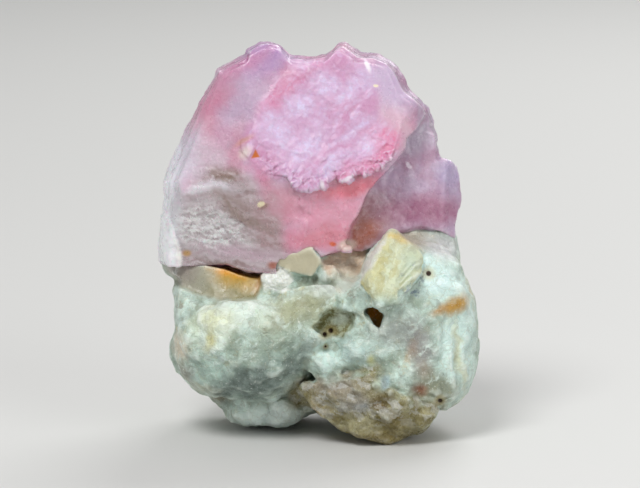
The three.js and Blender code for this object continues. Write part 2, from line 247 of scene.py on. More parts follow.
def away(face, middle, reach):
    """How far right and up each place is from a middle: 1 at the rim of an oval with that reach."""
    return np.hypot((face[:, 0] - middle[0]) / reach[0], (face[:, 2] - middle[1]) / reach[1])


def depth_inside(outline, points):
    """How far inside an outline each right and up lies, in millimetres, negative outside."""
    start = outline
    end = np.roll(outline, -1, axis=0)
    nearest = np.full(len(points), np.inf)
    inside = np.zeros(len(points), bool)
    for (ax, ay), (bx, by) in zip(start, end):
        along = np.array((bx - ax, by - ay))
        arm = points - (ax, ay)
        share = np.clip(arm @ along / (along @ along), 0, 1)
        nearest = np.minimum(nearest, np.hypot(*(arm - share[:, None] * along).T))
        crosses = (ay > points[:, 1]) != (by > points[:, 1])
        if by != ay:
            inside ^= crosses & (points[:, 0] < ax + (points[:, 1] - ay) * (bx - ax) / (by - ay))
    return np.where(inside, nearest, -nearest)


def worn(points, edges, rounds):
    """The points, each moved halfway to the middle of its neighbours, rounds times."""
    count = np.bincount(edges.ravel(), minlength=len(points))
    for _ in range(rounds):
        middle = np.stack([
            np.bincount(edges[:, 0], points[edges[:, 1], i], len(points))
            + np.bincount(edges[:, 1], points[edges[:, 0], i], len(points))
            for i in range(3)
        ], 1) / count[:, None]
        points = (points + middle) / 2
    return points


def relief(points, edges, normals):
    """How far each point stands out from the smoothed stone, in millimetres, negative in hollows."""
    return ((points - worn(points, edges, RELIEF_ROUNDS)) * normals).sum(1) * 1000


def mesh_points(mesh):
    points = np.empty(len(mesh.vertices) * 3)
    mesh.vertices.foreach_get("co", points)
    return points.reshape(-1, 3)


def set_points(mesh, points):
    mesh.vertices.foreach_set("co", points.ravel().astype(np.float32))
    mesh.update()


def keep(mesh, name, values):
    """Stores one number for each point of a mesh, for its paint."""
    layer = mesh.attributes.new(name, "FLOAT", "POINT")
    layer.data.foreach_set("value", values.astype(np.float32))


def mesh_normals(mesh):
    normals = np.empty(len(mesh.vertices) * 3)
    mesh.vertex_normals.foreach_get("vector", normals)
    return normals.reshape(-1, 3)


def mesh_edges(mesh):
    edges = np.empty(len(mesh.edges) * 2, np.int64)
    mesh.edges.foreach_get("vertices", edges)
    return edges.reshape(-1, 2)


def add_lump(mesh, middle, reach, seed):
    """Adds an angular convex lump to a mesh."""
    build = bmesh.new()
    directions = scatter(np.arange(3 * LUMP_CORNERS).reshape(LUMP_CORNERS, 3), seed)
    directions /= np.linalg.norm(directions, axis=1)[:, None]
    for direction in directions:
        build.verts.new(on_row(*(np.array(middle) + direction * np.array(reach))))
    bmesh.ops.convex_hull(build, input=build.verts)
    loose = [vertex for vertex in build.verts if not vertex.link_faces]
    bmesh.ops.delete(build, geom=loose, context="VERTS")
    build.from_mesh(mesh)
    build.to_mesh(mesh)
    build.free()


def fine_copy(node, name, grid_mm, lumps):
    """A copy of a frame solid with a fine even mesh and worn edges, grown together with small lumps."""
    rough = bpy.data.objects.new(name + "_rough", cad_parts[node].data.copy())
    for seed, (middle, reach) in enumerate(lumps):
        add_lump(rough.data, middle, reach, 60 + seed)
    bpy.context.scene.collection.objects.link(rough)
    remesh = rough.modifiers.new("even", "REMESH")
    remesh.mode = "VOXEL"
    remesh.voxel_size = grid_mm / 1000
    bpy.context.view_layer.update()
    evaluated = rough.evaluated_get(bpy.context.evaluated_depsgraph_get())
    mesh = bpy.data.meshes.new_from_object(evaluated)
    mesh.name = name
    bpy.data.objects.remove(rough)
    piece = bpy.data.objects.new(name, mesh)
    bpy.context.scene.collection.objects.link(piece)
    mesh.materials.clear()
    mesh.shade_smooth()
    set_points(mesh, worn(mesh_points(mesh), mesh_edges(mesh), EDGE_WEAR_ROUNDS))
    return piece


def refine(mesh, chosen):
    """Splits each face of a mesh in four where most of its corners are chosen."""
    build = bmesh.new()
    build.from_mesh(mesh)
    faces = [f for f in build.faces if sum(chosen[v.index] for v in f.verts) > 2]
    edges = list({edge for f in faces for edge in f.edges})
    bmesh.ops.subdivide_edges(build, edges=edges, cuts=1, use_grid_fill=True)
    build.to_mesh(mesh)
    build.free()
    mesh.shade_smooth()


def above_contact(face):
    """How far above the line between crystal and matrix each place is."""
    return face[:, 2] - np.interp(face[:, 0], CONTACT[:, 0], CONTACT[:, 1])


def in_crack(face):
    """1 along the open crack, at the left of the broken face, and 0 where crystal and matrix touch."""
    right, back, _ = face.T
    return ramp(right, -27, -18) * ramp(right, -9, -11) * ramp(back, -2, -5)


def facing(normals):
    """1 where the stone faces the viewer of its broken face, 0 at its sides and back."""
    return ramp(-(normals @ np.array(lean).T)[:, 1], 0.1, 0.4)


def forward(face, normals):
    """How far the crystal's slanted rims come forward, in millimetres, to meet its outline."""
    right, back, up = face.T
    middle = -15.7 + 0.09 * (right + 8) + 0.11 * (up - 62)
    left = -16.1 - 0.42 * (right + 12)
    gap = np.clip(back - np.maximum(middle, left), 0, 6)
    sees = ramp(-(normals @ np.array(lean).T)[:, 1], 0, 0.35)
    at_rim = np.maximum(ramp(up, 64, 69), ramp(right, -12, -16))
    lilac_face = ramp(right, 12, 15) * ramp(up, 70, 66)
    return 0.8 * gap * sees * ramp(up, 44, 52) * at_rim * (1 - lilac_face)


def moved(face, axis, by):
    """The shift, in the row and in metres, of by millimetres along right, back or up."""
    direction = np.zeros(3)
    direction[axis] = 1
    return np.outer(by / 1000, np.array(lean.inverted()) @ direction)


def model_crystal():
    piece = fine_copy("rose_quartz_crystal", "rose_quartz", CRYSTAL_GRID_MM, CRYSTAL_LUMPS)
    mesh = piece.data
    face = on_face(mesh_points(mesh))
    ragged = (np.abs(depth_inside(PEARLY_PLATE, face[:, [0, 2]]) - 1) < 3.4) & (face[:, 2] < 63)
    frosted = away(face, FROST_MIDDLE, (8.4, 6)) < 1
    refine(mesh, (face[:, 1] < -6) & (ragged | frosted))
    edges = mesh_edges(mesh)
    points = mesh_points(mesh)
    points = points + moved(on_face(points), 1, -forward(on_face(points), mesh_normals(mesh)))
    set_points(mesh, points)
    normals = mesh_normals(mesh)
    face = on_face(points)
    right, back, up = face.T
    front = facing(worn(normals, edges, 6)) * ramp(back, 3, 0)
    flat = shaken(face, 0.14, 1.1, 5)
    loose = shaken(face, 1.5, 4, 7)
    streaks = np.stack([
        (right * 0.6 + up * 0.8) / 5, back / 3, (right * 0.8 - up * 0.6),
    ], 1)

    lilac = ramp(back, -11, -9.5) * ramp(right + 2 * swell(face, 5, 9), 4, 7)
    lilac = lilac * (1 - ramp(back, 4, 12) * ramp(swell(face, 11, 10) + 0.05 * (9 - right), -0.3, 0.3))
    plate = depth_inside(PEARLY_PLATE, flat)
    on_plate = ramp(plate, -0.12, 0.12) * front
    pearly = ramp(plate, 0, 2) * front
    ledge = ramp(np.abs(plate - 1), 2.6, 0.4) * ramp(up, 63, 58) * ramp(right, -14, -9) * front
    clear = ramp(depth_inside(CLEAR_ZONE, loose), -2, 2) * front
    frosty = ramp(away(face, FROST_MIDDLE, (7.4, 5.2)), 1.2, 0.7) * front
    salmon = ramp(right, -8, -5) * ramp(up, 53, 51) * front * (1 - lilac)
    rim = ramp(depth_inside(RIM_FACET, flat), -0.2, 0.2) * ramp(back, 4, 0)
    behind = (1 - front) * ramp(back, -9, -3)

    height = on_plate * (0.06 + 0.6 * ramp(up, 63, 55) * ramp(right, -13, -5)) * (1 - lilac)
    for outline in LEDGE_CHIPS:
        height += 0.45 * ramp(depth_inside(outline, flat), -0.15, 0.25) * front * (1 - lilac)
    height += pearly * (0.2 * chips(face, 3.4, 11) + 0.12 * swell(streaks, 1.5, 12))
    height += pearly * 0.12 * chips(face, 1.5, 13) * ramp(swell(face, 6, 14), -0.2, 0.3)
    uneven = ledge * ramp(swell(face, 4, 51), -0.7, 0.4)
    height += uneven * (0.5 * chips(face, 2.6, 15) + 0.3 * chips(face, 1.5, 52))
    height += uneven * 0.18 * chips(face, 0.8, 48)
    height += ledge * 0.2 * terraces(face, (0.4, 0.2, -1), 1.5, 28)
    bands = np.stack([right / 5, back / 3, up], 1)
    height += clear * (1 - frosty) * (0.14 * swell(bands, 0.9, 16) - 0.1)
    height += frosty * (0.16 * chips(face, 1.5, 17) + 0.1 * chips(face, 0.8, 18))
    height += lilac * front * (0.35 * facets(face, 6, 19) + 0.06 * chips(face, 1.8, 20))
    height += salmon * (0.16 * swell(face, 2.6, 21) + 0.16 * chips(face, 3.6, 22))
    height += rim * (0.3 + 0.2 * chips(face, 2, 29))
    height += front * (0.12 * swell(face, 6, 23) + 0.03 * swell(face, 1.2, 24))
    height += (1 - front) * (0.14 * facets(face, 2, 30) + 0.06 * swell(face, 0.9, 47))
    height += behind * (facets(face, 9, 25) + 0.4 * facets(face, 4, 26) + 0.06 * chips(face, 1.6, 27))

    points = points + normals * (height[:, None] / 1000)
    joint = ramp(above_contact(face), 2.5, 0.4) * (1 - in_crack(face))
    points = points + moved(face, 2, -CRYSTAL_DOWN_MM * joint)
    set_points(mesh, points)
    keep(mesh, "relief", relief(points, edges, mesh_normals(mesh)))
    sharp = ramp(up, 60, 56) * ramp(right, -9, -5)
    soft_plate = ramp(depth_inside(PEARLY_PLATE, loose), -1.6, 1.6) * front
    keep(mesh, "plate", (sharp * on_plate + (1 - sharp) * soft_plate) * (1 - lilac))
    keep(mesh, "clear", clear * (1 - rim))
    keep(mesh, "rim", rim)
    keep(mesh, "lilac", lilac)
    keep(mesh, "rust", ramp(depth_inside(RUST_SPOT, face[:, [0, 2]]), -0.15, 0.15) * front)
    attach(piece, "root")
    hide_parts("rose_quartz_crystal")
    return piece


def model_matrix():
    piece = fine_copy("feldspar_matrix", "feldspar", MATRIX_GRID_MM, MATRIX_LUMPS)
    mesh = piece.data
    face = on_face(mesh_points(mesh))
    detailed = np.zeros(len(face), bool)
    for outline in (FOOT, BLOCK, BLOCK_SIDE, WEDGE, TUFT, CAVE):
        detailed |= depth_inside(outline, face[:, [0, 2]]) > -1
    refine(mesh, (face[:, 1] < -7) & detailed)
    edges = mesh_edges(mesh)
    points = mesh_points(mesh)
    normals = mesh_normals(mesh)
    face = on_face(points)
    right, back, up = face.T
    front = ramp(back, 2, -4)
    flat = shaken(face, 0.25, 1.1, 38)

    def within(outline, edge=0.2):
        """1 inside an outline on the front, 0 outside it."""
        return ramp(depth_inside(outline, flat), -edge, edge) * front

    block = within(BLOCK) * ramp(up, 28.6, 32.4)
    side = within(BLOCK_SIDE, 0.4)
    wedge = within(WEDGE)
    tuft = within(TUFT, 0.4)
    band = within(QUARTZ_BAND, 0.7)
    hollow = within(HOLLOW_QUARTZ, 0.6)
    cave = within(CAVE, 0.5)
    step = depth_inside(BRIGHT_STEP, shaken(face, 0.8, 2.4, 45))
    loose = shaken(face, 1.7, 3, 42)
    foot = ramp(depth_inside(FOOT, loose), -1.6, 1.2) * front
    shaded = ramp(depth_inside(SHADED_SIDE, loose), -1.6, 1.8) * front
    grooves = ramp(away(face, GROOVES_MIDDLE, (3, 3.4)), 1.2, 0.7) * front
    smooth = np.clip(block + wedge + band + hollow, 0, 1)
    level = ramp(points[:, 2] * 1000, 0.3, 1.6)

    height = 0.5 * swell(face, 8, 31) + 0.5 * facets(face, 5.4, 32)
    height += 0.3 * terraces(face, (-0.6, 0.3, -0.75), 3.2, 40) * ramp(swell(face, 9, 41), -0.3, 0.2)
    height += 0.3 * facets(face, 2.3, 33) + 0.16 * facets(face, 1.2, 34)
    height = height * (1 - 0.85 * smooth) * (1 - 0.5 * foot)
    height += foot * (0.8 * facets(face, 3.6, 35) + 0.4 * facets(face, 1.7, 36) * ramp(up, 4, 9))
    height += 0.12 * swell(face, 1.1, 37) * (1 - smooth)
    height += 0.7 * block + 0.3 * wedge - 0.35 * band - 0.3 * hollow - 0.5 * shaded
    height += tuft * (0.35 + 0.3 * chips(face, 1.2, 49) + 0.2 * chips(face, 0.6, 50))
    height += 0.7 * ramp(step, -0.4, 0.5) * ramp(up, 20, 27) * front
    height += grooves * 0.25 * np.sin((right * 0.74 - up * 0.67) * 7 + swell(face, 2, 44))
    height -= block * 0.5 * ramp(depth_inside(BLOCK_SIDE, flat), -0.2, 1)
    for middle_right, middle_up, radius in HOLES:
        distance = np.hypot(right - middle_right, up - middle_up) / radius
        height -= 0.8 * ramp(distance, 1.25, 0.5) * ramp(back, -4, -6)

    points = points + normals * (height * level)[:, None] / 1000
    joint = ramp(above_contact(face), -2, -0.6) * (1 - in_crack(face))
    points = points + moved(face, 2, MATRIX_UP_MM * joint)
    points = worn(points, edges, 1)
    points[:, 2] = np.maximum(points[:, 2], 0)
    set_points(mesh, points)
    keep(mesh, "relief", relief(points, edges, mesh_normals(mesh)))
    for name, values in (
        ("block", block), ("side", side), ("wedge", wedge), ("tuft", tuft), ("band", band),
        ("hollow", hollow), ("grooves", grooves), ("foot", foot), ("shaded", shaded), ("cave", cave),
        ("step", ramp(step, -0.8, 1) * front),
    ):
        keep(mesh, name, values)
    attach(piece, "root")
    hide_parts("feldspar_matrix")
    return piece


def tint(red, green, blue):
    """A colour for the shaders, from its usual values of 0 to 255."""
    shares = [value / 255 for value in (red, green, blue)]
    linear = [v / 12.92 if v <= 0.04045 else ((v + 0.055) / 1.055) ** 2.4 for v in shares]
    return (*linear, 1)


class Paint:
    """The nodes of one material. Places in it are right, back and up of the stone, in millimetres."""

    def __init__(self, name):
        self.material = bpy.data.materials.new(name)
        self.material.use_nodes = True
        self.tree = self.material.node_tree
        self.shader = self.tree.nodes["Principled BSDF"]
        place = self.node("ShaderNodeTexCoord").outputs["Object"]
        self.place = self.mapped(
            place, "POINT", -(lean @ face_foot), (math.radians(LEAN_DEG), 0, 0), (1000, 1000, 1000))
        right, back, up = self.split(self.place)
        self.right, self.back, self.up = right, back, up

    def node(self, kind, **settings):
        made = self.tree.nodes.new(kind)
        for key, value in settings.items():
            setattr(made, key, value)
        return made

    def feed(self, socket, value):
        if isinstance(value, bpy.types.NodeSocket):
            self.tree.links.new(value, socket)
        else:
            socket.default_value = value

    def mapped(self, vector, kind, location, rotation, scale):
        made = self.node("ShaderNodeMapping", vector_type=kind)
        self.feed(made.inputs["Vector"], vector)
        made.inputs["Location"].default_value = location
        made.inputs["Rotation"].default_value = rotation
        made.inputs["Scale"].default_value = scale
        return made.outputs["Vector"]

    def split(self, vector):
        made = self.node("ShaderNodeSeparateXYZ")
        self.feed(made.inputs[0], vector)
        return made.outputs

    def math(self, operation, *values):
        made = self.node("ShaderNodeMath", operation=operation)
        for socket, value in zip(made.inputs, values):
            self.feed(socket, value)
        return made.outputs[0]

    def ramp(self, value, start, end, low=0.0, high=1.0):
        made = self.node("ShaderNodeMapRange", interpolation_type="SMOOTHSTEP")
        for socket, number in zip(made.inputs, (value, start, end, low, high)):
            self.feed(socket, number)
        return made.outputs[0]

    def mix(self, share, one, other, kind="MIX"):
        made = self.node("ShaderNodeMix", data_type="RGBA", blend_type=kind)
        self.feed(made.inputs[0], share)
        self.feed(made.inputs[6], one)
        self.feed(made.inputs[7], other)
        return made.outputs[2]

    def kept(self, name):
        """A number that the modelling stored on the mesh."""
        return self.node("ShaderNodeAttribute", attribute_name=name).outputs["Fac"]

    def noise(self, size, detail=3.0, roughness=0.55, vector=None, colour=False):
        made = self.node("ShaderNodeTexNoise")
        self.feed(made.inputs["Vector"], vector or self.place)
        made.inputs["Scale"].default_value = 1 / size
        made.inputs["Detail"].default_value = detail
        made.inputs["Roughness"].default_value = roughness
        return made.outputs["Color" if colour else "Fac"]

    def cells(self, size, feature="F1", output="Distance", vector=None):
        made = self.node("ShaderNodeTexVoronoi", feature=feature)
        self.feed(made.inputs["Vector"], vector or self.place)
        made.inputs["Scale"].default_value = 1 / size
        return made.outputs[output]

    def warped(self, size, by):
        """The place, pushed about by up to by millimetres."""
        push = self.node("ShaderNodeVectorMath", operation="MULTIPLY_ADD")
        self.feed(push.inputs[0], self.noise(size, 3, 0.6, colour=True))
        push.inputs[1].default_value = (2 * by, 2 * by, 2 * by)
        self.feed(push.inputs[2], self.place)
        shift = self.node("ShaderNodeVectorMath", operation="SUBTRACT")
        self.feed(shift.inputs[0], push.outputs[0])
        shift.inputs[1].default_value = (by, by, by)
        return shift.outputs[0]

    def spot(self, place, middle, reach, turn=0.0, soft=0.35):
        """1 inside an egg-shaped spot, 0 outside. turn is in degrees and lifts the spot's right end."""
        local = self.mapped(place, "TEXTURE", middle, (0, -math.radians(turn), 0), reach)
        length = self.node("ShaderNodeVectorMath", operation="LENGTH")
        self.feed(length.inputs[0], local)
        return self.ramp(length.outputs["Value"], 1 + soft, 1 - soft)

    def streaked(self, place, turn, stretch):
        """The place for a texture that is drawn out by stretch, rising to the right by turn degrees."""
        rotation = (0, -math.radians(turn), 0)
        return self.mapped(place, "TEXTURE", (0, 0, 0), rotation, (stretch, stretch / 2, 1))

    def spots(self, base, place, marks):
        """Lays spots over a colour. Each mark is (colour, middle, reach, turn, soft, strength)."""
        for colour, middle, reach, turn, soft, strength in marks:
            share = self.spot(place, middle, reach, turn, soft)
            base = self.mix(self.math("MULTIPLY", share, strength), base, tint(*colour))
        return base

    def bump(self, *layers):
        """Stacks heights, each (height, depth in millimetres), and gives them to the shader."""
        normal = None
        for height, depth in layers:
            made = self.node("ShaderNodeBump")
            made.inputs["Strength"].default_value = 1
            made.inputs["Distance"].default_value = depth / 1000
            self.feed(made.inputs["Height"], height)
            if normal is not None:
                self.feed(made.inputs["Normal"], normal)
            normal = made.outputs[0]
        self.feed(self.shader.inputs["Normal"], normal)


def paint_crystal():
    paint = Paint("rose_quartz")
    shader = paint.shader
    drift = paint.warped(6, 2.4)
    front = paint.ramp(paint.back, -2, -7)
    plate, clear, rim, lilac = (paint.kept(name) for name in ("plate", "clear", "rim", "lilac"))
    high = paint.kept("relief")

    base = paint.mix(paint.ramp(paint.noise(9), 0.38, 0.62), tint(206, 140, 170), tint(204, 176, 198))
    base = paint.mix(paint.ramp(paint.noise(5, 4, 0.6, drift), 0.56, 0.7), base, tint(182, 158, 176))
    base = paint.spots(base, drift, [
        ((196, 172, 198), (-16, -14, 69), (8, 14, 7), 50, 0.6, 0.9),
        # Painted shade: the top is painted darker here to offset the key lamp's light on it.
        ((180, 144, 190), (-10, -12, 78.6), (8, 12, 4), 10, 0.6, 0.9),
        ((202, 136, 172), (-14.6, -13, 76.4), (6, 12, 1.6), 28, 0.8, 0.7),
        ((206, 138, 172), (-8, -13, 71.6), (6, 12, 1.4), 48, 0.8, 0.8),
        ((206, 132, 160), (-21.4, -10, 68), (2.4, 12, 7), -30, 0.8, 0.85),
        ((208, 152, 172), (-23, -14, 63.6), (4, 12, 2.6), 0, 0.8, 0.7),
        ((214, 208, 222), (-27.4, -10, 57.6), (3.4, 12, 7), -24, 0.7, 0.95),
        ((206, 190, 202), (-22, -14, 57.6), (4.6, 12, 3.4), 10, 0.7, 0.8),
        ((206, 186, 214), (14, -12, 72), (6.6, 9, 6.6), -50, 0.6, 0.9),
        ((226, 192, 206), (14.6, -12, 64), (5.6, 9, 3.4), -40, 0.6, 0.7),
        ((202, 142, 164), (-16, -15, 59), (2, 8, 5), 0, 0.8, 0.8),
        ((228, 160, 182), (2, -13, 48), (9, 8, 7), 0, 0.6, 0.9),
        # Painted shadow: a deeper pink band just under the pearly plate's ledge.
        ((232, 124, 140), (6, -13, 51.6), (6, 8, 1.6), 12, 0.7, 0.85),
        ((220, 132, 148), (1, -13, 41.8), (7, 7, 2.6), 8, 0.7, 0.8),
        ((204, 142, 156), (-9, -14, 49), (4, 8, 4), -30, 0.7, 0.7),
    ])
    on_plate = paint.spots(tint(208, 152, 190), drift, [
        ((216, 130, 168), (-6.4, -14, 72), (7.4, 9, 1.8), 44, 0.8, 0.9),
        ((226, 128, 166), (14, -14, 61), (5, 9, 3.6), 30, 0.8, 0.9),
        ((220, 136, 172), (9, -14, 55.4), (7, 9, 1.8), 20, 0.8, 0.8),
        ((206, 138, 176), (-10.6, -14, 57), (3.6, 9, 3), -30, 0.8, 0.7),
        ((214, 146, 184), (4, -14, 68.6), (5, 9, 1.4), -30, 0.8, 0.7),
    ])
    cloud_places = [
        (-8.6, 63.4, 3.2, 4.4), (-3.6, 67.6, 3.4, 2.8), (1, 71.6, 2.6, 2.8),
        (5.4, 70.8, 4, 1.8), (9.6, 73.8, 3, 3),
        (-3, 60, 5, 2.8), (7.4, 63.4, 4.4, 1), (8.6, 59.6, 2.8, 1.8),
        (2.4, 56.4, 4.4, 1.2), (-4, 75.8, 3, 1.6),
    ]
    clouds = 0
    for right, up, wide, tall in cloud_places:
        share = paint.spot(drift, (right, -14, up), (wide, 9, tall), 35, 0.95)
        clouds = paint.math("MAXIMUM", clouds, share)
    veils = paint.ramp(paint.noise(1.9, 5, 0.62, paint.streaked(drift, 50, 4)), 0.44, 0.64)
    crossing = paint.ramp(paint.noise(1.5, 4, 0.6, paint.streaked(drift, -30, 4)), 0.48, 0.62)
    wisps = paint.math("MULTIPLY_ADD", paint.ramp(paint.noise(1.3, 5, 0.68), 0.44, 0.62), 0.4, 0.6)
    misty = paint.math("MAXIMUM", clouds, paint.math("MULTIPLY", veils, 0.6))
    misty = paint.math("MAXIMUM", misty, paint.math("MULTIPLY", crossing, 0.4))
    on_plate = paint.mix(paint.math("MULTIPLY", misty, wisps), on_plate, tint(225, 212, 242))
    base = paint.mix(plate, base, on_plate)

    lilac_tone = paint.mix(paint.ramp(paint.noise(5), 0.4, 0.62), tint(178, 138, 166), tint(190, 166, 192))
    lilac_tone = paint.spots(lilac_tone, drift, [
        ((164, 86, 44), (7.6, -7, 43), (5, 8, 4.6), 40, 0.6, 0.9),
        # Painted light: a near-white streak along the lilac lobe's right rim, for light shining through its
        # thin edge.
        ((234, 230, 244), (28.6, -2, 54.6), (1.1, 9, 3.2), 24, 0.6, 0.8),
        ((156, 112, 116), (11.4, -7, 48), (3, 8, 5), 60, 0.7, 0.7),
        ((180, 168, 200), (26, -2, 55), (3, 8, 3.4), 0, 0.6, 0.85),
        ((188, 178, 196), (20, -6, 62.6), (3, 8, 5), -50, 0.7, 0.7),
        ((164, 98, 130), (21, -6, 47.4), (9, 8, 2.6), 0, 0.7, 0.85),
    ])
    base = paint.mix(lilac, base, lilac_tone)

    bands = paint.ramp(paint.noise(0.9, 5, 0.6, paint.streaked(drift, -3, 9)), 0.4, 0.6)
    smoky = paint.mix(bands, tint(174, 150, 150), tint(218, 204, 208))
    smoky = paint.spots(smoky, drift, [
        ((216, 202, 212), (-24.4, -14, 54.6), (3, 8, 1.2), 6, 0.7, 0.9),
        ((150, 128, 112), (-18.6, -14, 54.8), (3.8, 8, 1.5), 8, 0.5, 0.95),
        ((246, 242, 250), (-23.8, -14, 51.8), (6, 8, 1.5), 4, 0.45, 0.95),
        ((198, 182, 188), (-25.4, -14, 49.2), (4, 8, 0.9), 2, 0.6, 0.9),
        ((168, 146, 138), (-17.4, -14, 49.6), (4.6, 8, 1.4), -16, 0.7, 0.8),
        ((186, 152, 154), (-10.6, -14, 44.6), (3.6, 8, 5), 20, 0.7, 0.8),
        ((214, 206, 214), (-28.6, -14, 48), (1.6, 8, 4), 0, 0.7, 0.8),
    ])
    frost_place = paint.spot(drift, (-21.8, -12, 43.6), (7.6, 9, 4.8), -10, 0.5)
    smoky = paint.mix(frost_place, smoky, tint(200, 190, 192))
    level_streaks = paint.ramp(paint.noise(0.8, 4, 0.7, paint.streaked(drift, 4, 4)), 0.45, 0.55)
    falling_streaks = paint.ramp(paint.noise(0.9, 4, 0.7, paint.streaked(drift, -38, 5)), 0.5, 0.6)
    frost = paint.math("MAXIMUM", level_streaks, falling_streaks)
    smoky = paint.mix(paint.math("MULTIPLY", frost_place, frost), smoky, tint(255, 255, 255))
    flecks = paint.ramp(paint.noise(1.5, 5, 0.75), 0.56, 0.66)
    smoky = paint.mix(paint.math("MULTIPLY", frost_place, flecks), smoky, tint(240, 252, 250))
    smoky = paint.mix(paint.math("MULTIPLY", falling_streaks, 0.35), smoky, tint(228, 214, 220))
    smoky = paint.spots(smoky, drift, [
        ((156, 132, 118), (-14.8, -14, 46.6), (5, 8, 0.7), -38, 0.8, 0.8),
        ((214, 186, 200), (-16, -14, 39), (8, 8, 1.5), -4, 0.7, 0.8),
    ])
    base = paint.mix(clear, base, smoky)
    rim_tone = paint.mix(paint.ramp(paint.noise(1.6), 0.4, 0.6), tint(244, 240, 226), tint(216, 210, 202))
    base = paint.mix(rim, base, rim_tone)
    # Painted light: the crystal's lower left rim is painted near white, for light shining through its thin
    # edge.
    edge = paint.math("MULTIPLY", paint.ramp(paint.right, -26, -30), paint.ramp(paint.up, 68, 60))
    base = paint.mix(paint.math("MULTIPLY", edge, 0.9), base, tint(242, 246, 252))
    rear = paint.ramp(paint.back, -3, 5)
    milky = paint.ramp(paint.noise(11, 5, 0.6), 0.42, 0.6)
    base = paint.mix(paint.math("MULTIPLY", rear, milky), base, tint(226, 206, 220))
    hazy = paint.ramp(paint.noise(7, 4, 0.6, drift), 0.54, 0.68)
    base = paint.mix(paint.math("MULTIPLY", rear, hazy), base, tint(186, 160, 180))
    tea = paint.ramp(paint.noise(8, 4, 0.6), 0.5, 0.62)
    tea = paint.math("MULTIPLY", tea, paint.ramp(paint.up, 56, 46))
    base = paint.mix(paint.math("MULTIPLY", rear, tea), base, tint(196, 172, 166))

    # Painted highlight and shade: raised places are painted paler and hollows deeper pink, by how far each
    # stands out.
    base = paint.mix(paint.ramp(high, 0.05, 0.35, 0, 0.5), base, tint(242, 228, 240))
    base = paint.mix(paint.ramp(high, -0.04, -0.3, 0, 0.4), base, tint(206, 126, 156))
    grain = paint.ramp(paint.noise(0.7, 4, 0.7), 0.35, 0.75)
    base = paint.mix(paint.math("MULTIPLY", grain, 0.18), base, tint(246, 226, 238))
    glints = paint.ramp(paint.noise(0.55, 3, 0.7), 0.69, 0.74)
    base = paint.mix(paint.math("MULTIPLY", glints, 0.6), base, tint(255, 250, 252))
    base = paint.mix(paint.kept("rust"), base, tint(210, 112, 22))
    base = paint.spots(base, paint.warped(1.4, 0.3), [
        ((214, 96, 40), (2.5, -12, 40.8), (0.7, 4, 0.45), -10, 0.5, 0.9),
        ((150, 110, 96), (-11, -16, 48.3), (1.1, 4, 0.6), 20, 0.5, 0.7),
        ((252, 236, 200), (-11.6, -16, 48.6), (0.8, 4, 0.5), 20, 0.3, 1.0),
        ((236, 222, 214), (-14.6, -14, 58.8), (1.5, 6, 1), 50, 0.7, 0.8),
        ((216, 160, 130), (-14.8, -14, 61.2), (1.8, 6, 0.5), 30, 0.8, 0.6),
        # Painted glint: a thin white line of light near the plate's upper right.
        ((250, 244, 252), (9.4, -12, 76), (0.4, 6, 1.4), 22, 0.5, 0.9),
        ((252, 238, 212), (11, -13, 72), (0.5, 4, 0.3), 0, 0.3, 1.0),
        ((178, 84, 36), (-9.2, -12, 36.6), (1.2, 4, 0.7), 0, 0.5, 0.8),
        ((206, 160, 90), (-26.4, -12, 39), (0.9, 6, 0.6), 0, 0.5, 0.9),
        # Painted glints: two small white spots of light on the crystal's right face.
        ((236, 224, 236), (17.6, -8, 56.4), (0.9, 6, 0.4), -50, 0.4, 0.9),
        ((230, 218, 232), (22, -8, 62.8), (1.1, 6, 0.3), -20, 0.4, 0.8),
        ((212, 190, 178), (5.4, -12, 40.6), (2, 6, 1.1), 8, 0.4, 0.9),
        ((242, 232, 240), (0.4, -14, 52.4), (0.5, 6, 1), 0, 0.4, 0.9),
        ((244, 228, 240), (5.4, -14, 53.6), (1.4, 6, 0.4), 30, 0.4, 0.8),
    ])
    paint.feed(shader.inputs["Base Color"], base)

    roughness = paint.ramp(paint.noise(2.4, 4, 0.6), 0.3, 0.7, 0.18, 0.4)
    roughness = paint.math("ADD", roughness, paint.math("MULTIPLY", plate, 0.14))
    paint.feed(shader.inputs["Roughness"], roughness)
    through = paint.math("MULTIPLY_ADD", paint.math("MULTIPLY", clear, front), 0.25, 0.1)
    paint.feed(shader.inputs["Transmission Weight"], through)
    shader.inputs["IOR"].default_value = 1.54
    paint.feed(shader.inputs["Subsurface Weight"], paint.math("MULTIPLY_ADD", clear, -0.4, 0.65))
    shader.inputs["Subsurface Radius"].default_value = (1.0, 0.7, 0.85)
    shader.inputs["Subsurface Scale"].default_value = 0.0018
    shader.inputs["Coat Weight"].default_value = 0.12
    shader.inputs["Coat Roughness"].default_value = 0.18
    rough_share = paint.math("MULTIPLY_ADD", plate, 0.75, 0.12)
    swells = paint.math("MULTIPLY", paint.noise(2.2, 5, 0.6), rough_share)
    flakes = paint.math("MULTIPLY", paint.cells(1.3, "F1", "Distance", drift), rough_share)
    paint.bump((swells, 0.4), (flakes, 0.14), (paint.noise(0.5, 4, 0.65), 0.08))
    return paint.material


